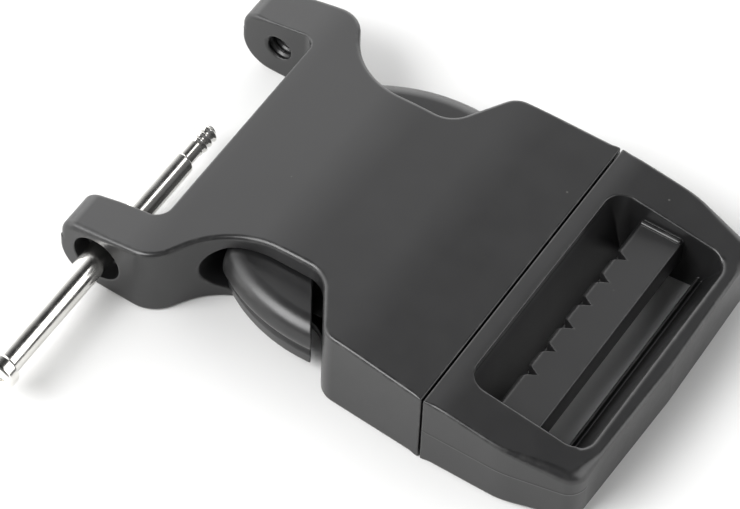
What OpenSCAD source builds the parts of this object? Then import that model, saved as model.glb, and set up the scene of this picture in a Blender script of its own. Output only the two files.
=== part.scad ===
// Fastened side release buckle for 25 mm webbing, of the kind that repairs a strap without sewing.
// The socket's two ears hold a removable screw pin, drawn partly pulled out.
// X runs across the strap along the pin, +Y points to the ears and +Z up.
// The origin is on the middle of the underside, midway between the ear tips and the frame's end.

/* [Socket outline] */
// Width of both halves where they meet
body_w = 35.8; // [32:0.1:40]
// How far each shoulder, behind which a prong latches, is drawn in from the side at the seam
shoulder_in = 0.8; // [0.4:0.1:1.4]
// How far each side is drawn in at the waist, where the fingers squeeze the prongs
waist_in = 6.8; // [6.2:0.1:7.4]
// How far the ears stand out past the seam's width at their root
ear_out = 0.4; // [0:0.1:1]
// How much each ear is drawn in again at its tip
tip_in = 0.35; // [0:0.05:1]
// Length from the seam to the shoulder corner
shoulder_len = 11.3; // [10:0.1:13]
// Length of the sloping shoulder
shoulder_slope = 3.8; // [3.2:0.1:4.6]
// Length of the waist between its two corners
waist_len = 10.5; // [9.8:0.1:12.5]
// Length of the neck that widens to the ears
neck_len = 4.2; // [3.6:0.1:5]
// Length of an ear from the neck to the tip
ear_len = 10.75; // [9.8:0.05:13]
// Rounding of the shoulder corner
shoulder_r = 2.4; // [1.6:0.1:3]
// Rounding where the shoulder meets the waist
waist_r = 3; // [2:0.1:3.6]
// Rounding where the waist meets the neck
neck_r = 9; // [6:0.1:9.6]
// Rounding of the ear's outer root corner
ear_r = 3.6; // [2:0.1:4]
// Rounding of the ear tip's outer corner
tip_corner_r = 1; // [0.5:0.1:1.6]
// Rounding of the ear tip's inner corner
gap_edge_r = 0.6; // [0.3:0.1:1]

/* [Socket height] */
// Height of both halves at the seam
body_h = 9.1; // [8.6:0.1:11]
// How much higher the top is at the waist
crown = 0.8; // [0.2:0.1:1.4]
// Length from the seam over which the top rises
crown_run = 9; // [7:0.1:11]
// Length of the level part of the top
crown_level = 11; // [8:0.1:12]
// Height of the top at the ear roots
root_h = 8.5; // [8:0.1:9]
// Height of the ears at their tips
tip_h = 6.8; // [6.5:0.1:8]
// Radius of the blends between the slopes of the top
top_blend_r = 30; // [10:1:50]
// Rounding of the ear tips at the top
tip_top_r = 2.2; // [1:0.1:2.4]
// Rounding of the ear tips at the underside
tip_low_r = 3.4; // [1.5:0.1:3.8]
// Thickness of the plate below the cavity
floor_t = 1.2; // [1:0.1:1.5]
// Height of the cavity
cavity_h = 6.6; // [6:0.1:6.8]

/* [Ears and pin bore] */
// Gap between the ears, which takes the webbing
ear_gap = 26.6; // [24:0.1:28]
// Depth of that gap from the ear tips
gap_depth = 8.75; // [8:0.05:9.6]
// Rounding in the gap's two inner corners
gap_r = 1.5; // [0.8:0.1:2.5]
// Distance of the pin bore from the ear tips
bore_setback = 4.35; // [4:0.05:4.8]
// Height of the pin bore above the underside
bore_z = 4; // [3.7:0.1:4.2]
// Diameter of the recess for the pin head
recess_d = 5.2; // [4.6:0.1:5.4]

/* [Screw pin] */
// Diameter of the plain shaft
pin_d = 2.8; // [2.4:0.1:3]
// Diameter of the head
head_d = 3.9; // [3.5:0.1:4.2]
// Length of the head
head_len = 1.7; // [1.4:0.1:2]
// Bevel round the head's end
head_bevel = 0.3; // [0.1:0.05:0.5]
// Diameter over the thread
thread_d = 2.5; // [2.2:0.1:2.6]
// Diameter of the neck and of the thread's root
neck_d = 2; // [1.8:0.1:2.1]
// Length of the thread
thread_len = 2.8; // [2.4:0.1:3]
// Distance from one thread turn to the next
thread_pitch = 0.8; // [0.6:0.1:1]
// How far the pin is pulled out of its seat as drawn
pulled_out = 16.9; // [0:0.1:30]
// Width of one arm of the cross recess
cross_w = 0.7; // [0.5:0.1:0.9]
// Length of the cross recess across the head
cross_len = 2.5; // [2:0.1:2.8]
// Depth of the cross recess
cross_depth = 0.9; // [0.6:0.1:1.2]

/* [Insert frame] */
// Length of the frame from the seam
frame_len = 16.6; // [15.6:0.1:19]
// Length of the frame's straight sides
frame_straight = 8.8; // [7.5:0.1:10]
// How far each side of the frame is drawn in at its end
end_in = 1.5; // [0.8:0.1:2]
// Bow of the frame's end edge
end_bow = 0.4; // [0.1:0.1:1]
// Rounding of the frame's end corners
end_r = 2; // [1:0.1:2.8]
// Height of the top at the frame's end
end_top = 6.9; // [6.4:0.1:7.6]
// Height of the underside at the frame's end
end_low = 0.8; // [0.5:0.1:1.6]
// Rounding of the end face's top and low edges
end_edge_r = 0.4; // [0.2:0.1:0.8]
// Radius of the blends where the frame starts to slope and narrow
frame_blend_r = 12; // [6:1:18]
// Length of the bar between the seam and the window
cross_t = 2.1; // [1.8:0.1:2.6]
// How far the crossbar's sloping rear reaches into the window at the underside
cross_foot = 1.4; // [0.8:0.1:1.7]
// Height of the crossbar's upright edge above that slope
cross_edge = 0.9; // [0.5:0.1:2]
// Width of the window that takes the webbing
window_w = 26.9; // [25:0.1:28]
// Length of the window
window_len = 12.7; // [12.4:0.1:13.2]
// Rounding of the window's corners
window_r = 2; // [1:0.1:2.6]

/* [Webbing bars] */
// Slot between the crossbar and the toothed bar
slot_t = 3.3; // [3:0.1:3.6]
// Width of the toothed bar
bar_t = 4.4; // [4:0.1:4.7]
// Height of the toothed bar's top
bar_top = 6.4; // [6.1:0.1:6.6]
// Thickness of the toothed bar
bar_h = 3; // [2.4:0.1:3.2]
// How much narrower the toothed bar is below
bar_taper = 0.5; // [0.2:0.1:0.8]
// Rounding of the toothed bar's top edges
bar_edge_r = 0.3; // [0.1:0.1:0.6]
// Number of notches in the toothed bar
tooth_n = 6; // [4:1:7]
// Distance from one notch to the next
tooth_pitch = 3.24; // [2.6:0.02:3.6]
// Width and depth of a notch
tooth_w = 1; // [0.7:0.1:1.2]
// Width of the bead at each end of the toothed bar
bead_t = 0.5; // [0.3:0.1:0.8]
// Height of that bead above the bar
bead_h = 0.4; // [0.2:0.1:0.6]
// Slot between the toothed bar and the end rim's lip
front_slot = 1.9; // [1.6:0.1:2.2]
// Length of the lip's flat top
lip_t = 0.5; // [0.3:0.1:0.9]
// Height of the lip's top
lip_top = 2.2; // [1.8:0.1:3]
// Height of the upright edge above the end rim's slope
rim_edge = 0.6; // [0.3:0.1:1.2]

/* [Tongue and prongs] */
// Width of the middle tongue
tongue_w = 7.8; // [6.5:0.1:8.4]
// Length of the tongue from the seam
tongue_len = 18; // [15:0.1:19]
// Rounding of the tongue's nose corners
nose_r = 0.8; // [0.4:0.1:1.2]
// Thickness of a prong's arm
arm_t = 2.4; // [2:0.1:2.8]
// How far an arm's outside lies in from the side at the seam
arm_in = 7.5; // [7:0.1:7.9]
// Radius of the outer curve of a prong's foot
prong_r = 17.5; // [16:0.1:19]
// How far that curve lies in from the side at the seam
prong_in = 2.3; // [2:0.1:2.8]
// Distance of that curve's centre from the seam
prong_y = 14.9; // [14:0.1:16]
// Distance of the prong's tip from the seam
prong_tip = 25.6; // [24.6:0.1:26]
// Rounding of the prong's tip on its inside, above and below
prong_tip_r = 1.2; // [0.6:0.1:1.6]
// How far a prong's upper body stands out over its foot
bulge_t = 0.7; // [0.2:0.05:0.9]
// Depth of the groove between that body and the foot
groove_t = 0.25; // [0.1:0.05:0.4]
// Rounding of a prong's upper edge
prong_edge_r = 1.3; // [0.6:0.1:1.8]

/* [Fits] */
// Gap at the seam between the two halves
seam_gap = 0.2; // [0.1:0.05:0.4]
// Gap around the tongue and prongs inside the socket
inner_gap = 0.3; // [0.2:0.05:0.4]
// Room between an arm and the socket's rib, for the arm to flex inward
flex_room = 1.2; // [0.9:0.1:1.5]
// Room outside an arm in the socket's mouth
mouth_room = 1.8; // [1.4:0.1:2.2]
// Room past the tongue's nose
nose_room = 2; // [1:0.1:3]
// Gap between a prong and the sloping shoulder that holds it
latch_gap = 1; // [0.6:0.1:1.2]
// How far the catch stands out from the sloping shoulder where the waist is rounded
catch_skin = 0.1; // [0.05:0.05:0.3]
// Gap behind a prong's tip
tip_gap = 1.6; // [1:0.1:1.8]
// Radial running clearance of the pin in both bores
bore_gap = 0.07; // [0.02:0.01:0.1]
// How far the seated head lies below the ear's face
head_sink = 0.3; // [0.1:0.1:0.5]
// Gap under the seated head
head_gap = 0.15; // [0.05:0.05:0.3]
// How far the seated pin's tip lies below the other ear's face
tip_sink = 0.2; // [0.1:0.1:0.5]
// Gap between the seated pin's plain shaft and the threaded ear
shaft_gap = 0.2; // [0.1:0.1:0.4]
// How deep a bar, the tongue or an arm is rooted in the frame
root_t = 0.5; // [0.3:0.1:0.8]

/* [Hidden] */
// Degrees from one point to the next along a rounding
round_step = 6;
// How far a cut or a trimming block reaches past the faces it trims
over = 1;

// Half widths at the seam, shoulder, waist, ear root, ear tip and frame end
body_x = body_w / 2;
shoulder_x = body_x - shoulder_in;
waist_x = body_x - waist_in;
ear_root_x = body_x + ear_out;
tip_x = ear_root_x - tip_in;
end_x = body_x - end_in;
wide = 4 * ear_root_x;

// Levels along Y, measured from the seam
y_waist = shoulder_len + shoulder_slope;
y_neck = y_waist + waist_len;
y_ear = y_neck + neck_len;
y_tip = y_ear + ear_len;
y_gap = y_tip - gap_depth;
y_bore = y_tip - bore_setback;
y_mid = (y_tip - frame_len) / 2;
y_well = prong_tip + tip_gap;
y_bar = -cross_t - slot_t;
y_front = y_bar - bar_t;
y_lip = y_front - front_slot;
y_window = -cross_t - window_len;

// Direction of the sloping shoulder, and where an arm passes into its prong behind it
slope_x = shoulder_x - waist_x;
slope_a = atan2(-shoulder_slope, slope_x);
arm_x = body_x - arm_in - arm_t;
y_root = shoulder_len + (shoulder_x - arm_x) * shoulder_slope / slope_x + latch_gap / cos(slope_a) + root_t;

// Ribs and mouth inside the socket, and the height of what slides into it
rib_in = tongue_w / 2 + inner_gap;
rib_out = arm_x - flex_room;
mouth_x = arm_x + arm_t + mouth_room;
part_low = floor_t + inner_gap;
part_h = cavity_h - 2 * inner_gap;

// Pin, seated with its head in the near ear
ear_x = ear_root_x - tip_in * (y_bore - y_ear) / ear_len;
seat_x = -ear_x + head_sink;
pin_len = 2 * ear_x - head_sink - tip_sink;
recess_depth = head_sink + head_len + head_gap;
thread_start = pin_len - thread_len;
shaft_end = ear_gap / 2 - shaft_gap - seat_x;

function unit(v) = v / norm(v);

// Points along the rounding of the corner p between its neighbours a and b
function round_at(a, p, b, r) = let(
    u = unit([a[0] - p[0], a[1] - p[1]]),
    w = unit([b[0] - p[0], b[1] - p[1]]),
    half = acos(u * w) / 2,
    c = [p[0], p[1]] + unit(u + w) * r / sin(half),
    s = [p[0], p[1]] + u * r / tan(half) - c,
    e = [p[0], p[1]] + w * r / tan(half) - c,
    a0 = atan2(s[1], s[0]),
    turn = atan2(e[1], e[0]) - a0,
    sweep = turn > 180 ? turn - 360 : turn < -180 ? turn + 360 : turn,
    n = max(3, ceil(abs(sweep) / round_step)))
    [for (i = [0:n]) c + r * [cos(a0 + sweep * i / n), sin(a0 + sweep * i / n)]];

// A closed outline from rows of [x, y, rounding]
function rounded(rows) = [for (i = [0:len(rows) - 1])
    let(p = rows[i], a = rows[(i + len(rows) - 1) % len(rows)], b = rows[(i + 1) % len(rows)])
    for (q = p[2] > 0 ? round_at(a, p, b, p[2]) : [[p[0], p[1]]]) q];

// The rows of one side and the same rows mirrored, for an outline that is alike on both sides
function both_sides(rows) = concat(rows,
    [for (i = [len(rows) - 1:-1:0]) if (rows[i][0] > 0) [-rows[i][0], rows[i][1], rows[i][2]]]);

// A section drawn in Y and Z, extruded along X over the width w
module along_x(w) {
    translate([-w / 2, 0, 0]) rotate([90, 0, 90]) linear_extrude(w) children();
}

// Plan outline of the socket: x, y, rounding
socket_rows = [
    [body_x, 0, 0],
    [shoulder_x, shoulder_len, shoulder_r],
    [waist_x, y_waist, waist_r],
    [waist_x, y_neck, neck_r],
    [ear_root_x, y_ear, ear_r],
    [tip_x, y_tip, tip_corner_r],
    [ear_gap / 2, y_tip, gap_edge_r],
    [ear_gap / 2, y_gap, gap_r]];

// Side section of the socket: y, z, rounding
socket_side = [
    [0, 0, 0],
    [0, body_h, 0],
    [crown_run, body_h + crown, top_blend_r],
    [crown_run + crown_level, body_h + crown, top_blend_r],
    [y_gap, root_h, top_blend_r],
    [y_tip, tip_h, tip_top_r],
    [y_tip, 0, tip_low_r]];

module socket_shell() {
    intersection() {
        linear_extrude(body_h + crown + over) polygon(rounded(both_sides(socket_rows)));
        along_x(wide) polygon(rounded(socket_side));
    }
}

// The plan region behind the sloping shoulder, more than the distance g from it
module past_shoulder(g) {
    translate([shoulder_x, shoulder_len]) rotate(slope_a) translate([-wide, g]) square([2 * wide, wide]);
}

// Channels for the tongue and the two prong arms, and the side windows for the prongs
module socket_cavity() {
    translate([-rib_in, -over, floor_t]) cube([2 * rib_in, over + tongue_len + nose_room, cavity_h]);
    for (s = [0, 1]) mirror([s, 0, 0]) {
        translate([rib_out, -over, floor_t]) cube([mouth_x - rib_out, y_root + 2 * over, cavity_h]);
        intersection() {
            translate([rib_out, 0, floor_t]) rotate([90, 0, 90]) linear_extrude(wide) union() {
                square([y_well - cavity_h / 2, cavity_h]);
                translate([y_well - cavity_h / 2, cavity_h / 2]) circle(d = cavity_h, $fn = 64);
            }
            linear_extrude(wide) past_shoulder(catch_skin);
        }
    }
}

module pin_bores() {
    translate([0, y_bore, bore_z]) rotate([0, 90, 0]) {
        // near ear: clearance bore with a recess for the head
        translate([0, 0, -wide]) cylinder(h = wide, d = pin_d + 2 * bore_gap, $fn = 64);
        translate([0, 0, -wide]) cylinder(h = wide - ear_x + recess_depth, d = recess_d, $fn = 64);
        // far ear: hole for the thread
        cylinder(h = wide, d = thread_d + 2 * bore_gap, $fn = 64);
    }
}

module socket_body() {
    color([0.3, 0.3, 0.31]) translate([0, -y_mid, 0]) difference() {
        socket_shell();
        socket_cavity();
        pin_bores();
    }
}

// Plan outline of the insert's frame: x, y, rounding
frame_rows = [
    [body_x, -seam_gap, 0],
    [body_x, -frame_straight, frame_blend_r],
    [end_x, -frame_len + end_bow, end_r],
    [0, -frame_len, 0]];

// Side section of the frame: y, z, rounding
frame_side = [
    [-seam_gap, 0, 0],
    [-seam_gap, body_h, 0],
    [-cross_t, body_h, frame_blend_r],
    [-frame_len, end_top, end_edge_r],
    [-frame_len, end_low, end_edge_r],
    [-frame_straight, 0, frame_blend_r]];

module frame_section() {
    polygon(rounded(frame_side));
}

module toothed_bar() {
    difference() {
        along_x(window_w + root_t) polygon(rounded([
            [y_bar, bar_top, bar_edge_r],
            [y_front, bar_top, bar_edge_r],
            [y_front, bar_top - bar_h, 2 * bar_edge_r],
            [y_bar - bar_taper, bar_top - bar_h, 2 * bar_edge_r]]));
        for (i = [0:tooth_n - 1])
            translate([(i - (tooth_n - 1) / 2) * tooth_pitch, y_bar, bar_top - tooth_w])
                linear_extrude(tooth_w + over)
                    polygon([[-tooth_w / 2, over], [tooth_w / 2, over], [tooth_w / 2, 0],
                             [0, -tooth_w], [-tooth_w / 2, 0]]);
    }
}

// A bead at each end of the toothed bar, against the window's side
module bar_beads() {
    for (s = [0, 1]) mirror([s, 0, 0])
        translate([window_w / 2 - bead_t, y_front, bar_top - bead_h])
            cube([bead_t + root_t, bar_t, 2 * bead_h]);
}

// Sloping rear of the crossbar, which guides the webbing up
module crossbar_slope() {
    along_x(window_w + root_t) polygon([
        [root_t - cross_t, 0],
        [-cross_t - cross_foot, 0],
        [-cross_t, body_h - cross_edge],
        [root_t - cross_t, body_h - cross_edge]]);
}

// Lip in front of the toothed bar, rising as a slope to the end rim's top
module rim_lip() {
    along_x(window_w + root_t) intersection() {
        frame_section();
        polygon([
            [y_lip, -over],
            [y_lip, lip_top],
            [y_lip - lip_t, lip_top],
            [y_window, end_top - rim_edge],
            [y_window - root_t, end_top - rim_edge],
            [y_window - root_t, -over]]);
    }
}

module insert_frame() {
    difference() {
        intersection() {
            linear_extrude(body_h + over) polygon(rounded(both_sides(frame_rows)));
            along_x(wide) frame_section();
        }
        translate([0, 0, -over]) linear_extrude(body_h + 2 * over) polygon(rounded(both_sides([
            [window_w / 2, -cross_t, window_r],
            [window_w / 2, y_window, window_r]])));
    }
    crossbar_slope();
    toothed_bar();
    bar_beads();
    rim_lip();
}

// Side section of a prong from its low foot over the groove to the upper body:
// share of its height, shares of the bulge and of the groove
prong_shares = [
    [0, 0, 0.8], [0.05, 0, 0], [0.24, 0, 0], [0.3, 0, 1], [0.36, 0, 1],
    [0.45, 0.4, 0], [0.54, 0.85, 0], [0.62, 1, 0]];

module prong_head() {
    intersection() {
        translate([body_x - prong_in - prong_r, prong_y, part_low]) rotate_extrude($fn = 180) polygon(concat(
            [[0, 0]],
            [for (q = prong_shares) [prong_r + q[1] * bulge_t - q[2] * groove_t, q[0] * part_h]],
            [for (t = [0:15:90])
                [prong_r + bulge_t, part_h] + prong_edge_r * [cos(t) - 1, sin(t) - 1]],
            [[0, part_h]]));
        translate([0, 0, part_low - over]) linear_extrude(part_h + 2 * over) intersection() {
            polygon(rounded([
                [arm_x, 0, 0],
                [2 * prong_r, 0, 0],
                [2 * prong_r, prong_tip, 0],
                [arm_x, prong_tip, prong_tip_r]]));
            past_shoulder(latch_gap);
        }
        // Tip rounded above and below, clear of the side window's round end
        along_x(wide) polygon(rounded([
            [0, part_low, 0],
            [0, part_low + part_h, 0],
            [prong_tip, part_low + part_h, prong_tip_r],
            [prong_tip, part_low, prong_tip_r]]));
    }
}

// Plan outline of the tongue, with a tapered nose: x, y, rounding
tongue_rows = [
    [tongue_w / 2, -seam_gap - root_t, 0],
    [tongue_w / 2, 0.7 * tongue_len, 5 * nose_r],
    [0.28 * tongue_w, tongue_len, nose_r]];

module insert_arms() {
    translate([0, 0, part_low]) linear_extrude(part_h) polygon(rounded(both_sides(tongue_rows)));
    for (s = [0, 1]) mirror([s, 0, 0]) {
        translate([arm_x, -seam_gap - root_t, part_low])
            cube([arm_t, y_root + seam_gap + root_t, part_h]);
        prong_head();
    }
}

module prong_insert() {
    color([0.25, 0.25, 0.26]) translate([0, -y_mid, 0]) {
        insert_frame();
        insert_arms();
    }
}

// One turn of the thread: share of the pitch, share of the thread's depth
turn_shares = [[0.1, 0], [0.45, 1], [0.7, 1], [1, 0]];

// Half section of the pin from the head's end to the tip: distance along the pin, radius
function pin_half() = let(
    depth = (thread_d - neck_d) / 2,
    turns = floor(thread_len / thread_pitch - 0.1),
    rings = [for (i = [0:turns - 1], q = turn_shares)
        [thread_start + (i + q[0]) * thread_pitch, neck_d / 2 + q[1] * depth]])
    concat(
        [[0, 0], [0, head_d / 2 - head_bevel], [head_bevel, head_d / 2],
         [head_len - head_bevel, head_d / 2], [head_len, pin_d / 2],
         [shaft_end - head_bevel, pin_d / 2], [shaft_end, neck_d / 2]],
        rings,
        [[pin_len - head_bevel / 2, neck_d / 2], [pin_len, neck_d / 2 - head_bevel], [pin_len, 0]]);

module screw_pin() {
    color([0.78, 0.77, 0.74])
        translate([seat_x - pulled_out, y_bore - y_mid, bore_z]) rotate([0, 90, 0]) difference() {
            rotate_extrude($fn = 64) polygon([for (q = pin_half()) [q[1], q[0]]]);
            for (t = [0, 90]) rotate(t)
                translate([-cross_len / 2, -cross_w / 2, -over])
                    cube([cross_len, cross_w, over + cross_depth]);
        }
}

socket_body();
prong_insert();
screw_pin();
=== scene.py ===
"""Looks of a fastened side release buckle: satin black mouldings and a bright screw pin on a white table."""

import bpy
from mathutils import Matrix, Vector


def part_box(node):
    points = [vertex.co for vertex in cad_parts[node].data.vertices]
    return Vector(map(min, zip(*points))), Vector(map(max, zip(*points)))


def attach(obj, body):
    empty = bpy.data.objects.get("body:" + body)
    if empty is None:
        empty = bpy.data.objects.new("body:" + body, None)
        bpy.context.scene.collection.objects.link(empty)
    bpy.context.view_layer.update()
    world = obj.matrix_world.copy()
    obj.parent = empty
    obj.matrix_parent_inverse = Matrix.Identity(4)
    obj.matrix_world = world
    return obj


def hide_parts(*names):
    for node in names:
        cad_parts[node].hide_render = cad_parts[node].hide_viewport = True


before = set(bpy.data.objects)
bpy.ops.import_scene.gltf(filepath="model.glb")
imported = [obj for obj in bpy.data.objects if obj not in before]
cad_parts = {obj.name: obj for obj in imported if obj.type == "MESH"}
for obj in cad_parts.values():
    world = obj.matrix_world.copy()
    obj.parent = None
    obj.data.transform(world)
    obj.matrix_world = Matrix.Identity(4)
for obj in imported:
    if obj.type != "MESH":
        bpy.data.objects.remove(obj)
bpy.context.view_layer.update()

import math

import bpy
import numpy as np
from mathutils import Matrix, Vector

MM = 0.001

# Places taken from the frame. Shapes below are drawn in millimetres, with Y measured from the seam.
SOCKET_LOW, SOCKET_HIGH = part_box("socket_body")
INSERT_LOW, INSERT_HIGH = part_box("prong_insert")
PIN_LOW, PIN_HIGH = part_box("screw_pin")
SEAM_Y = SOCKET_LOW.y
Y_TIP = (SOCKET_HIGH.y - SEAM_Y) / MM
Y_BORE = ((PIN_LOW.y + PIN_HIGH.y) / 2 - SEAM_Y) / MM
BORE_Z = (PIN_LOW.z + PIN_HIGH.z) / 2 / MM
PIN_X = PIN_LOW.x / MM
PIN_LEN = (PIN_HIGH.x - PIN_LOW.x) / MM

# Camera, fitted to the photograph's outline
PHOTO_WIDTH = 740
SENSOR = 36.0
FOCAL_PIXELS = 4513
CAMERA_AT = Vector((-227.8, -117.5, 345.7)) * MM + Vector((0, SEAM_Y, 0))
CAMERA_PITCH = math.radians(52.64)
CAMERA_YAW = math.radians(59.49)
CAMERA_ROLL = math.radians(2.86)


# Distance fields: each takes coordinates in millimetres and is negative inside

SAME = 1e-6  # lengths that differ by less count as equal
FAR = 1e3


class Outline:
    """A closed anticlockwise path of lines and arcs, from rows of (a, b, rounding of that corner).

    Called with coordinates, it gives their distances from the path. Where two lines are equally near, at a
    sharp corner, the line that the place lies further beside decides which side it is on.
    """

    def __init__(self, rows):
        self.lines, self.arcs = [], []
        ends = []
        for i, (a, b, r) in enumerate(rows):
            p = np.array((a, b), float)
            if r <= 0:
                ends.append((p, p))
                continue
            u = np.array(rows[i - 1][:2], float) - p
            w = np.array(rows[(i + 1) % len(rows)][:2], float) - p
            u, w = u / np.hypot(*u), w / np.hypot(*w)
            half = math.acos(float(u @ w)) / 2
            middle = (u + w) / np.hypot(*(u + w))
            convex = u[0] * w[1] - u[1] * w[0] < 0
            centre = p + middle * r / math.sin(half)
            self.arcs.append((centre, r, -middle, math.cos(math.pi / 2 - half), convex))
            ends.append((p + u * r / math.tan(half), p + w * r / math.tan(half)))
        for i in range(len(rows)):
            start, stop = ends[i][1], ends[(i + 1) % len(rows)][0]
            if np.hypot(*(stop - start)) > SAME:
                self.lines.append((start, stop))

    def __call__(self, a, b):
        nearest = np.full(np.broadcast(a, b).shape, FAR)
        signed = nearest.copy()
        beside = np.zeros(nearest.shape)
        for (pa, pb), (qa, qb) in self.lines:
            da, db = qa - pa, qb - pb
            length = math.hypot(da, db)
            share = np.clip(((a - pa) * da + (b - pb) * db) / length ** 2, 0, 1)
            gap = np.hypot(a - pa - share * da, b - pb - share * db)
            side = ((a - pa) * db - (b - pb) * da) / length
            at_corner = (np.abs(gap - nearest) < SAME) & (np.abs(side) > beside)
            closer = (gap < nearest - SAME) | at_corner
            nearest = np.where(closer, gap, nearest)
            beside = np.where(closer, np.abs(side), beside)
            signed = np.where(closer, np.where(side > 0, gap, -gap), signed)
        for centre, r, (ma, mb), cos_half, convex in self.arcs:
            rho = np.hypot(a - centre[0], b - centre[1])
            within = (a - centre[0]) * ma + (b - centre[1]) * mb >= rho * cos_half
            gap = np.where(within, np.abs(rho - r), FAR)
            closer = gap <= nearest
            nearest = np.where(closer, gap, nearest)
            signed = np.where(closer, (rho - r) if convex else (r - rho), signed)
        return signed


def both(a, b, r=0.0):
    """What lies inside a and b, with its edge rounded by r."""
    return np.minimum(-r, np.maximum(a, b)) + np.hypot(np.maximum(a + r, 0), np.maximum(b + r, 0))


def either(a, b, r=0.0):
    """What lies inside a or b, with a hollow fillet of r between them."""
    return -both(-a, -b, r)


def without(a, b, r=0.0):
    """a with b cut out, the edge of the cut rounded by r."""
    return both(a, -b, r)


def slab(value, low, high):
    """What lies between two parallel planes."""
    return np.maximum(low - value, value - high)


def ease(value, low, high):
    """0 below low, 1 above high, smooth between."""
    t = np.clip((value - low) / (high - low), 0, 1)
    return t * t * (3 - 2 * t)


# How far an outline runs on past the piece, where another outline ends the piece
PAST = 5.0
# Half widths of the socket, from the seam to the ears' tips
BODY_X, SHOULDER_X, WAIST_X, EAR_X, TIP_X = 17.9, 17.1, 11.1, 18.3, 17.95
Y_SHOULDER, Y_WAIST, Y_EAR = 11.3, 15.1, 29.8
GAP_X, Y_GAP = 13.3, 31.8
# Heights of the top at the waist and at the seam, and its fall between them
WAIST_HIGH, SEAM_HIGH, TOP_FALL = 9.9, 9.1, 0.8
# The frame's far end, where it starts to taper towards it in side view and plan, and the underside's rise
Y_END, Y_TAPER, END_RISE = -16.6, -8.8, 0.8
# Height of the parting line. A fillet above it belongs to the top
MIDDLE = 4.5
# The socket's hollow, and the parts of the insert inside it
CAVITY_LOW, CAVITY_HIGH = 1.2, 7.8
PART_LOW, PART_HIGH = 1.5, 7.5
ARM_X, ARM_T, Y_ROOT = 8.0, 2.4, 18.75
CHANNEL_X, Y_WELL, WELL_R = 6.8, 23.9, 3.3
# The window and its toothed bar
WINDOW_X, WITHIN_X, BAR_HIGH = 13.45, 13.95, 6.4
TOOTH_PITCH, TOOTH_SHIFT, TOOTH_LOW = 3.24, 0.4, 5.0
# The pin and its bores
RECESS_X, RECESS_R, BORE_R, HOLE_R = -15.94, 2.6, 1.47, 1.3
HEAD_R, SHAFT_R, NECK_R = 1.95, 1.4, 1.0
THREAD_PITCH, THREAD_ROOT_R = 0.8, 0.98
# Small fillets that any moulding tool leaves
CRISP, FINE = 0.12, 0.14

SOCKET_PLAN = Outline([
    (-3, 0, 0), (BODY_X, 0, CRISP), (SHOULDER_X, Y_SHOULDER, 2.4), (WAIST_X, Y_WAIST, 3), (WAIST_X, 25.6, 9),
    (EAR_X, Y_EAR, 3.6), (TIP_X - 0.11, Y_TIP + PAST, 0), (GAP_X, Y_TIP + PAST, 0), (GAP_X, Y_GAP, 1.5),
    (-3, Y_GAP, 0)])
SOCKET_SIDE = Outline([
    (-PAST, 0, 0), (Y_TIP, 0, 3.4), (Y_TIP, 6.8, 2.2), (Y_GAP, 8.5, 45), (20, WAIST_HIGH, 45),
    (9, WAIST_HIGH, 50), (-PAST, WAIST_HIGH - TOP_FALL * (9 + PAST) / 9, 0)])
FRAME_PLAN = Outline([
    (-3, Y_END, 0), (0, Y_END, 0), (16.4, -16.2, 2), (BODY_X, Y_TAPER, 12), (BODY_X, -0.2, CRISP),
    (-3, -0.2, 0)])
FRAME_SIDE = Outline([
    (Y_END - PAST, END_RISE * (1 + PAST / 7.8), 0), (Y_TAPER, 0, 12), (PAST, 0, 0), (PAST, SEAM_HIGH, 0),
    (-2.1, SEAM_HIGH, 14), (Y_END - PAST, 6.9 - 2.2 * PAST / 14.5, 0)])
WINDOW = Outline([(-3, -14.8, 0), (WINDOW_X, -14.8, 2), (WINDOW_X, -2.1, 2), (-3, -2.1, 0)])
CROSS_SLOPE = Outline([(-1.4, CRISP, 0), (-1.4, 8.2, 0), (-2.1, 8.2, 0.1), (-3.48, CRISP, 0)])
LIP = Outline([
    (-11.7, 0, 0), (-11.7, 2.2, CRISP), (-12.0, 2.2, CRISP), (-12.15, 1.85, 0.1), (-12.35, 1.85, 0.15),
    (-14.8, 6.3, 0), (-15.6, 6.3, 0), (-15.6, 0, 0)])
BAR = Outline([(-5.5, 3.4, 0.5), (-4.9, BAR_HIGH, 0.6), (-9.8, BAR_HIGH, 0.1), (-9.8, 3.4, 0.1)])
PRONG_SIDE = Outline([
    (0, PART_LOW, 0), (17.35, PART_LOW, 0.1), (17.5, 2.9, 0.35), (17.25, 3.3, 0.2), (17.25, 3.7, 0.3),
    (17.8, 4.3, 0.8), (18.2, 5.1, 1.2), (18.2, PART_HIGH, 2.1), (0, PART_HIGH, 0)])
TONGUE = Outline([(-3, -0.7, 0), (3.9, -0.7, 0), (3.9, 12.6, 4), (2.2, 18, 0.8), (-3, 18, 0)])
# Radius against the distance from the head's face, clockwise as typed and so turned round
PIN_SIDE = Outline([
    (0, -1, 0), (0, HEAD_R, 0.35), (1.4, HEAD_R, 0.3), (1.7, SHAFT_R, 0.1), (30.89, SHAFT_R, 0.25),
    (31.1, NECK_R, 0.1), (PIN_LEN, NECK_R, 0.25), (PIN_LEN, -1, 0)][::-1])


def past_shoulder(ax, y):
    """Distance beyond the sloping shoulder, towards the waist."""
    run, rise = SHOULDER_X - WAIST_X, 3.8
    return ((ax - SHOULDER_X) * rise + (y - Y_SHOULDER) * run) / math.hypot(run, rise)


def socket_edge(ax, y, z):
    """Rounding of the socket's long edges: fine at the seam and the gap, wide along waist and ears."""
    outer = 0.36 + 0.14 * ease(y, 10, 14) + 0.25 * ease(y, 34, 40)
    inner = 0.2 + 0.35 * ease(y, 36, 40)
    r = np.where((ax < 15.8) & (y > Y_EAR - 0.3), inner, outer)
    away = ease(y, 0.1, 1.2)
    return np.where(z > MIDDLE, FINE + (r - FINE) * away, FINE + 0.3 * away)


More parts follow.
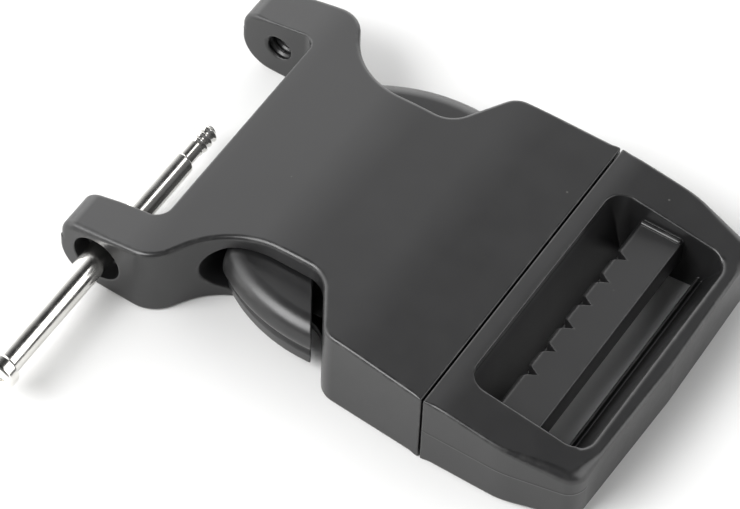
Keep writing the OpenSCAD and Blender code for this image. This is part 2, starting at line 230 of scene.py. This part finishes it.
def thread(s, turn, low, high, depth):
    """Height of a screw thread over its root, at a place along the axis and an angle."""
    wave = 0.5 - 0.5 * np.cos(2 * math.pi * s / THREAD_PITCH - turn)
    return depth * wave * ease(s, low, low + 0.35) * (1 - ease(s, high - 0.3, high))


def socket(x, y, z):
    """The socket's housing, with its hollow open at the waist and at the seam, and the pin's bores."""
    ax = np.abs(x)
    made = both(SOCKET_PLAN(ax, y), SOCKET_SIDE(y, z), socket_edge(ax, y, z))
    deep = slab(z, CAVITY_LOW, CAVITY_HIGH)
    channels = np.minimum(np.maximum(ax - 4.2, y - 20),
                          np.maximum(slab(ax, CHANNEL_X, 12.2), y - Y_ROOT - 2))
    end = np.maximum(np.hypot(np.maximum(y - Y_WELL, 0), z - CAVITY_LOW - WELL_R) - WELL_R, deep)
    side = np.maximum(np.maximum(CHANNEL_X - ax, end), 0.1 - past_shoulder(ax, y))
    made = without(made, np.minimum(np.maximum(channels, deep), side), FINE)
    rho = np.hypot(y - Y_BORE, z - BORE_Z)
    turn = np.arctan2(z - BORE_Z, y - Y_BORE)
    groove = thread(x, turn, 10.0, 30.0, 0.24)
    near = np.minimum(np.maximum(rho - RECESS_R, x - RECESS_X), np.maximum(rho - BORE_R, x))
    # A thread's flanks are steep, so its distances are scaled down to stay true ones
    far = np.maximum((rho - HOLE_R - groove) * 0.7, -x)
    return without(made, np.minimum(near, far), 0.15)


def toothed_bar(x, ax, y, z):
    """The bar for the webbing, with six notches in its rear edge and a bead at each end."""
    made = np.maximum(BAR(y, z), ax - WITHIN_X)
    along = x - TOOTH_SHIFT
    nearest = along - TOOTH_PITCH * (np.clip(np.round(along / TOOTH_PITCH - 0.5), -3, 2) + 0.5)
    notch = np.maximum((np.abs(nearest) - 0.55 * (y + 6.4)) * 0.87, TOOTH_LOW - z)
    made = without(made, notch, 0.1)
    bead = both(np.hypot(ax - 13.1, z - BAR_HIGH) - 0.3, slab(y, -9.7, -5.3), 0.2)
    return np.minimum(made, bead)


def insert(x, y, z):
    """The insert: frame, lip, toothed bar, tongue and prongs."""
    ax = np.abs(x)
    away = ease(-y, 0.3, 1.4)
    top_edge = FINE + 0.2 * away + 0.75 * ease(-y, 6, 16) * ease(ax, 12, 15)
    edge = np.where(z > MIDDLE, top_edge, FINE + 0.3 * away)
    outer = both(FRAME_PLAN(ax, y), FRAME_SIDE(y, z), edge)
    parting_line = 0.035 * np.exp(-((z - MIDDLE) / 0.09) ** 2)
    outer = outer - parting_line * ease(ax, 14.5, 15) * ease(-y, 0.2, 0.5)
    made = without(outer, WINDOW(ax, y), CRISP + 0.1 * ease(-y, 2.5, 4) + 0.35 * ease(-y, 13.8, 14.5))
    within = np.maximum(ax - WITHIN_X, outer + CRISP)
    made = either(made, np.maximum(CROSS_SLOPE(y, z), ax - WITHIN_X), CRISP)
    made = either(made, np.maximum(LIP(y, z), within), CRISP)
    made = either(made, toothed_bar(x, ax, y, z), CRISP)
    # The prong's head is turned about an upright axis, whose place in plan is (-1.9, 14.9)
    head = PRONG_SIDE(np.hypot(ax + 1.9, y - 14.9), z)
    head = both(head, y - 25.6, 0.9)
    head = both(head, np.maximum(ARM_X - ax, 1.0 - past_shoulder(ax, y)), 0.16)
    body = slab(z, PART_LOW, PART_HIGH)
    arm = np.maximum(slab(ax, ARM_X, ARM_X + ARM_T), slab(y, -0.7, Y_ROOT))
    middle = np.minimum(arm, TONGUE(ax, y))
    return np.minimum(made, np.minimum(head, np.maximum(middle, body)))


def pin(x, y, z):
    """The screw pin, from its cross-recessed head to its thread."""
    s = x - PIN_X
    v, w = y - Y_BORE, z - BORE_Z
    rho = np.hypot(v, w)
    turn = np.arctan2(w, v)
    crest = thread(s, turn, 32.8, PIN_LEN - 0.05, 0.25)
    screw = both((rho - THREAD_ROOT_R - crest) * 0.7, slab(s, 32.5, PIN_LEN - 0.08), 0.12)
    made = np.minimum(PIN_SIDE(s, rho), screw)
    wide, long = 0.34 - 0.14 * s, 1.25 - 0.65 * s
    cross = np.minimum(np.maximum(np.abs(v) - long, np.abs(w) - wide),
                       np.maximum(np.abs(w) - long, np.abs(v) - wide)) * 0.85
    return without(made, np.maximum(cross, s - 0.9), 0.06)


# Meshes from those fields

def surface_net(values, low, step):
    """Vertices and quads of the surface where a grid of distances passes through zero."""
    inside = values < 0
    shape = tuple(n - 1 for n in values.shape)
    corners = [(i, j, k) for i in (0, 1) for j in (0, 1) for k in (0, 1)]
    count = np.zeros(shape, np.int8)
    for i, j, k in corners:
        count += inside[i:i + shape[0], j:j + shape[1], k:k + shape[2]]
    cells = np.argwhere((count > 0) & (count < 8))
    at = {c: values[tuple((cells + c).T)] for c in corners}
    total = np.zeros((len(cells), 3))
    hits = np.zeros(len(cells))
    for c in corners:
        for axis in range(3):
            if c[axis]:
                continue
            other = tuple(v + (n == axis) for n, v in enumerate(c))
            a, b = at[c], at[other]
            crossed = (a < 0) != (b < 0)
            share = np.where(crossed, a / np.where(crossed, a - b, 1), 0)
            place = np.array(c, float) + share[:, None] * np.eye(3)[axis]
            total += place * crossed[:, None]
            hits += crossed
    verts = (cells + total / hits[:, None]) * step + low
    number = np.full(shape, -1, np.int32)
    number[tuple(cells.T)] = np.arange(len(cells))
    quads = []
    for axis in range(3):
        b, c = (axis + 1) % 3, (axis + 2) % 3
        first = [slice(1, n - 1) for n in values.shape]
        first[axis] = slice(0, values.shape[axis] - 1)
        second = list(first)
        second[axis] = slice(1, values.shape[axis])
        start, stop = inside[tuple(first)], inside[tuple(second)]
        edges = np.argwhere(start != stop)
        outward = start[tuple(edges.T)]
        edges[:, b] += 1
        edges[:, c] += 1
        ring = []
        for db, dc in ((-1, -1), (0, -1), (0, 0), (-1, 0)):
            cell = edges.copy()
            cell[:, b] += db
            cell[:, c] += dc
            ring.append(number[tuple(cell.T)])
        ring = np.stack(ring, 1)
        quads.append(np.where(outward[:, None], ring, ring[:, ::-1]))
    return verts, np.concatenate(quads)


def new_mesh(name, verts, faces):
    """A mesh from arrays of vertices and of faces with the same number of corners."""
    mesh = bpy.data.meshes.new(name)
    mesh.vertices.add(len(verts))
    mesh.vertices.foreach_set("co", np.asarray(verts, np.float32).ravel())
    mesh.loops.add(faces.size)
    mesh.loops.foreach_set("vertex_index", faces.astype(np.int32).ravel())
    mesh.polygons.add(len(faces))
    mesh.polygons.foreach_set("loop_start", np.arange(0, faces.size, faces.shape[1], dtype=np.int32))
    mesh.update(calc_edges=True)
    return mesh


def slope_of(field, p, reach=0.02):
    """Gradient of a field at points."""
    steps = np.eye(3) * reach
    return np.stack([(field(*(p + s).T) - field(*(p - s).T)) / (2 * reach) for s in steps], 1)


def solid(name, field, low, high, step, triangles):
    """A named object whose surface is where the field is zero, thinned to so many triangles.

    The thinned mesh is moved back onto that surface and takes its normals from the field. The attribute
    "edge" says how sharply the surface bends outwards, from 0 to 1.
    """
    margin, rows = 2.5 * step, 48
    low = np.array(low, float) - margin
    counts = np.ceil((np.array(high, float) + margin - low) / step).astype(int) + 1
    x, y, z = (low[n] + step * np.arange(counts[n]) for n in range(3))
    values = np.concatenate([
        np.broadcast_to(field(x[i:i + rows, None, None], y[None, :, None], z[None, None, :]),
                        (len(x[i:i + rows]), len(y), len(z))).astype(np.float32)
        for i in range(0, len(x), rows)])
    verts, quads = surface_net(values, low, step)
    piece = bpy.data.objects.new(name, new_mesh(name, verts, quads))
    bpy.context.scene.collection.objects.link(piece)
    thin = piece.modifiers.new("thin", "DECIMATE")
    thin.ratio = min(1.0, triangles / (2 * len(quads)))
    graph = bpy.context.evaluated_depsgraph_get()
    mesh = bpy.data.meshes.new_from_object(piece.evaluated_get(graph))
    piece.modifiers.clear()
    piece.data = mesh
    mesh.name = name
    p = np.empty(len(mesh.vertices) * 3)
    mesh.vertices.foreach_get("co", p)
    p = p.reshape(-1, 3)
    for _ in range(2):
        slope = slope_of(field, p)
        steepness = np.maximum((slope ** 2).sum(1), 0.2)
        move = -slope * (field(*p.T) / steepness)[:, None]
        p = p + np.clip(move, -0.4 * step, 0.4 * step)
    slope = slope_of(field, p)
    normals = slope / np.maximum(np.linalg.norm(slope, axis=1), 1e-9)[:, None]
    reach = 0.15
    bend = sum(field(*(p + s).T) + field(*(p - s).T) for s in np.eye(3) * reach) - 6 * field(*p.T)
    edge = np.clip(bend / reach ** 2 * 0.3, 0, 1)
    mesh.vertices.foreach_set("co", ((p + (0, SEAM_Y / MM, 0)) * MM).astype(np.float32).ravel())
    mesh.shade_smooth()
    attribute = mesh.attributes.new("edge", "FLOAT", "POINT")
    attribute.data.foreach_set("value", edge.astype(np.float32))
    mesh.update()
    mesh.normals_split_custom_set_from_vertices(normals.tolist())
    return piece


# Materials

def new_material(name):
    """An empty node material and its Principled shader."""
    material = bpy.data.materials.new(name)
    material.use_nodes = True
    return material, material.node_tree, material.node_tree.nodes["Principled BSDF"]


def node(tree, kind, **values):
    """A new node with its named inputs or properties set."""
    made = tree.nodes.new(kind)
    for key, value in values.items():
        if key in made.inputs:
            made.inputs[key].default_value = value
        else:
            setattr(made, key, value)
    return made


def scaled_place(tree, size, stretch=(1, 1, 1)):
    """The object's own coordinates in units of `size` metres."""
    place = node(tree, "ShaderNodeTexCoord")
    scaled = node(tree, "ShaderNodeMapping")
    scaled.inputs["Scale"].default_value = [s / size for s in stretch]
    tree.links.new(place.outputs["Object"], scaled.inputs["Vector"])
    return scaled.outputs["Vector"]


def noise_at(tree, size, detail=2.0, roughness=0.5, stretch=(1, 1, 1)):
    """Noise whose features are about `size` metres across."""
    texture = node(tree, "ShaderNodeTexNoise", Scale=1.0, Detail=detail, Roughness=roughness)
    tree.links.new(scaled_place(tree, size, stretch), texture.inputs["Vector"])
    return texture.outputs["Fac"]


def spread(tree, value, low, high, to_low, to_high):
    """A value's range low to high mapped to another range."""
    ranged = node(tree, "ShaderNodeMapRange")
    for key, number in zip(("From Min", "From Max", "To Min", "To Max"), (low, high, to_low, to_high)):
        ranged.inputs[key].default_value = number
    tree.links.new(value, ranged.inputs["Value"])
    return ranged.outputs["Result"]


def maths(tree, operation, a, b):
    """Two values combined; each is a number or another node's output."""
    made = node(tree, "ShaderNodeMath", operation=operation)
    for socket, value in zip(made.inputs, (a, b)):
        if isinstance(value, (int, float)):
            socket.default_value = value
        else:
            tree.links.new(value, socket)
    return made.outputs["Value"]


def mixed(tree, share, a, b):
    """A colour between a and b; each is a colour or another node's output."""
    mix = node(tree, "ShaderNodeMix", data_type="RGBA")
    tree.links.new(share, mix.inputs["Factor"])
    for socket, value in ((mix.inputs[6], a), (mix.inputs[7], b)):
        if isinstance(value, tuple):
            socket.default_value = (*value, 1)
        else:
            tree.links.new(value, socket)
    return mix.outputs[2]


def bump(tree, height, depth, after=None):
    """A bump of the given depth in metres, on top of another normal."""
    made = node(tree, "ShaderNodeBump", Strength=1.0, Distance=depth)
    tree.links.new(height, made.inputs["Height"])
    if after is not None:
        tree.links.new(after, made.inputs["Normal"])
    return made.outputs["Normal"]


def moulded_plastic(name, dark, light, roughness):
    """Satin black acetal: mould grain, faint sink waves, paler rubbed edges and a few dust specks."""
    material, tree, shader = new_material(name)
    links = tree.links
    broad = noise_at(tree, 11 * MM, detail=2)
    colour = mixed(tree, spread(tree, broad, 0.35, 0.65, 0, 1), dark, light)
    edge = node(tree, "ShaderNodeAttribute", attribute_name="edge").outputs["Fac"]
    rubbed = maths(tree, "MULTIPLY", edge, spread(tree, noise_at(tree, 1.1 * MM, detail=4, roughness=0.7),
                                                  0.45, 0.7, 0.0, 0.5))
    colour = mixed(tree, rubbed, colour, (0.075, 0.074, 0.072))
    cell = node(tree, "ShaderNodeTexVoronoi", Scale=1.0)
    links.new(scaled_place(tree, 2.6 * MM), cell.inputs["Vector"])
    rare = node(tree, "ShaderNodeSeparateColor")
    links.new(cell.outputs["Color"], rare.inputs["Color"])
    speck = maths(tree, "MULTIPLY", spread(tree, cell.outputs["Distance"], 0.035, 0.055, 1, 0),
                  spread(tree, rare.outputs["Red"], 0.8, 0.82, 0, 1))
    colour = mixed(tree, speck, colour, (0.07, 0.068, 0.064))
    links.new(colour, shader.inputs["Base Color"])
    uneven = spread(tree, noise_at(tree, 3 * MM, detail=5, roughness=0.65), 0.3, 0.7,
                    roughness - 0.03, roughness + 0.04)
    links.new(maths(tree, "ADD", uneven, maths(tree, "MULTIPLY", rubbed, 0.12)), shader.inputs["Roughness"])
    shader.inputs["IOR"].default_value = 1.56
    waves = bump(tree, broad, 0.012 * MM)
    grain = bump(tree, noise_at(tree, 0.11 * MM, detail=2, roughness=0.6), 0.0022 * MM, after=waves)
    links.new(grain, shader.inputs["Normal"])
    return material


def turned_steel(name):
    """Bright nickel-plated steel with faint lathe rings, fine scratches and slightly dull patches."""
    material, tree, shader = new_material(name)
    links = tree.links
    patch = noise_at(tree, 2.5 * MM, detail=4)
    colour = mixed(tree, spread(tree, patch, 0.35, 0.65, 0, 1), (0.76, 0.745, 0.71), (0.86, 0.85, 0.82))
    edge = node(tree, "ShaderNodeAttribute", attribute_name="edge").outputs["Fac"]
    colour = mixed(tree, maths(tree, "MULTIPLY", edge, 0.35), colour, (0.93, 0.92, 0.9))
    links.new(colour, shader.inputs["Base Color"])
    shader.inputs["Metallic"].default_value = 1.0
    links.new(spread(tree, noise_at(tree, 1.2 * MM, detail=5, roughness=0.7), 0.3, 0.7, 0.12, 0.24),
              shader.inputs["Roughness"])
    rings = bump(tree, noise_at(tree, 0.2 * MM, detail=3, stretch=(1, 0.04, 0.04)), 0.0016 * MM)
    scratches = noise_at(tree, 0.3 * MM, detail=4, roughness=0.7, stretch=(0.08, 1, 1))
    links.new(bump(tree, scratches, 0.001 * MM, after=rings), shader.inputs["Normal"])
    return material


def paper_floor(name):
    """The plain white table."""
    material, tree, shader = new_material(name)
    colour = mixed(tree, noise_at(tree, 60 * MM, detail=2), (0.86, 0.86, 0.855), (0.875, 0.875, 0.87))
    tree.links.new(colour, shader.inputs["Base Color"])
    shader.inputs["Roughness"].default_value = 0.7
    shader.inputs["Specular IOR Level"].default_value = 0.2
    return material


# The object and its surroundings

def box_of(low, high):
    """A CAD node's box in millimetres, with Y from the seam."""
    shift = (0, -SEAM_Y / MM, 0)
    return [tuple(c / MM + s for c, s in zip(corner, shift)) for corner in (low, high)]


def build_pieces():
    """Each row: name, field, CAD box, grid step in mm, triangles, CAD node, body, material, slot."""
    satin = 0.31
    socket_black = moulded_plastic("socket_plastic", (0.013, 0.013, 0.0135), (0.015, 0.015, 0.0155), satin)
    insert_black = moulded_plastic("insert_plastic", (0.012, 0.012, 0.0125), (0.014, 0.014, 0.0145), satin)
    steel = turned_steel("pin_steel")
    rows = (
        ("socket_housing", socket, (SOCKET_LOW, SOCKET_HIGH), 0.12, 150000, "socket_body", "buckle",
         socket_black, "socket_plastic"),
        ("insert_moulding", insert, (INSERT_LOW, INSERT_HIGH), 0.12, 180000, "prong_insert", "buckle",
         insert_black, "insert_plastic"),
        ("turned_pin", pin, (PIN_LOW, PIN_HIGH), 0.05, 60000, "screw_pin", "pin", steel, "pin_steel"),
    )
    for name, field, box, step, triangles, cad_node, body, material, slot in rows:
        piece = solid(name, field, *box_of(*box), step, triangles)
        piece.data.materials.append(material)
        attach(piece, body)
        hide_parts(cad_node)


def build_floor():
    """A wide round table top at z = 0."""
    bpy.ops.mesh.primitive_circle_add(vertices=96, radius=3.0, fill_type="NGON", location=(0, 0, 0))
    floor = bpy.context.object
    floor.name = "table"
    floor.data.materials.append(paper_floor("table_white"))


def soft_box(name, direction, distance, size, radiance):
    """A square area light of a given radiance, seen from the object at an azimuth and elevation."""
    azimuth, elevation = (math.radians(a) for a in direction)
    towards = Vector((math.cos(azimuth) * math.cos(elevation), math.sin(azimuth) * math.cos(elevation),
                      math.sin(elevation)))
    data = bpy.data.lights.new(name, "AREA")
    data.size = size
    data.energy = radiance * math.pi * size * size
    lamp = bpy.data.objects.new(name, data)
    lamp.location = towards * distance
    lamp.rotation_mode = "QUATERNION"
    lamp.rotation_quaternion = towards.to_track_quat("Z", "Y")
    bpy.context.scene.collection.objects.link(lamp)


def build_light():
    """A bright backdrop low behind the buckle, a dim ceiling and a dark camera side, with two soft boxes.

    One stands at the left and a dim one stands low before the frame's end.
    """
    world = bpy.data.worlds.new("studio")
    world.use_nodes = True
    bpy.context.scene.world = world
    tree = world.node_tree
    background = tree.nodes["Background"]
    place = node(tree, "ShaderNodeTexCoord")
    split = node(tree, "ShaderNodeSeparateXYZ")
    tree.links.new(place.outputs["Generated"], split.inputs["Vector"])
    ramp = node(tree, "ShaderNodeValToRGB")
    # Brightness against the sine of the elevation
    stops = ((0.0, 1.0), (0.45, 1.0), (0.62, 0.75), (0.79, 0.34), (0.88, 0.08), (1.0, 0.04))
    while len(ramp.color_ramp.elements) < len(stops):
        ramp.color_ramp.elements.new(0.5)
    for element, (place_at, value) in zip(ramp.color_ramp.elements, stops):
        element.position = place_at
        element.color = (value, value, value, 1)
    tree.links.new(split.outputs["Z"], ramp.inputs["Fac"])
    # Share of the direction that points to the backdrop, at azimuth 65 degrees
    behind = maths(tree, "ADD", maths(tree, "MULTIPLY", split.outputs["X"], 0.4226),
                   maths(tree, "MULTIPLY", split.outputs["Y"], 0.9063))
    share = spread(tree, behind, 0.1, 0.45, 0.06, 1)
    tree.links.new(mixed(tree, share, (0, 0, 0), ramp.outputs["Color"]), background.inputs["Color"])
    background.inputs["Strength"].default_value = 2.6
    soft_box("left_box", (150, 43), 1.2, 0.75, 9)
    soft_box("end_fill", (290, 25), 1.2, 1.2, 2.4)


def build_camera():
    """The photograph's camera."""
    forward = Vector((math.sin(CAMERA_YAW) * math.cos(CAMERA_PITCH),
                      math.cos(CAMERA_YAW) * math.cos(CAMERA_PITCH), -math.sin(CAMERA_PITCH)))
    level = Vector((math.cos(CAMERA_YAW), -math.sin(CAMERA_YAW), 0))
    up = level.cross(forward)
    right = math.cos(CAMERA_ROLL) * level + math.sin(CAMERA_ROLL) * up
    up = math.cos(CAMERA_ROLL) * up - math.sin(CAMERA_ROLL) * level
    data = bpy.data.cameras.new("photo_camera")
    data.sensor_width = SENSOR
    data.lens = FOCAL_PIXELS * SENSOR / PHOTO_WIDTH
    data.clip_start, data.clip_end = 0.01, 20
    camera = bpy.data.objects.new("photo_camera", data)
    turn = Matrix((right, up, -forward)).transposed().to_4x4()
    camera.matrix_world = Matrix.Translation(CAMERA_AT) @ turn
    bpy.context.scene.collection.objects.link(camera)
    bpy.context.scene.camera = camera


bpy.context.scene.view_settings.view_transform = "Standard"
build_camera()
build_pieces()
build_floor()
build_light()
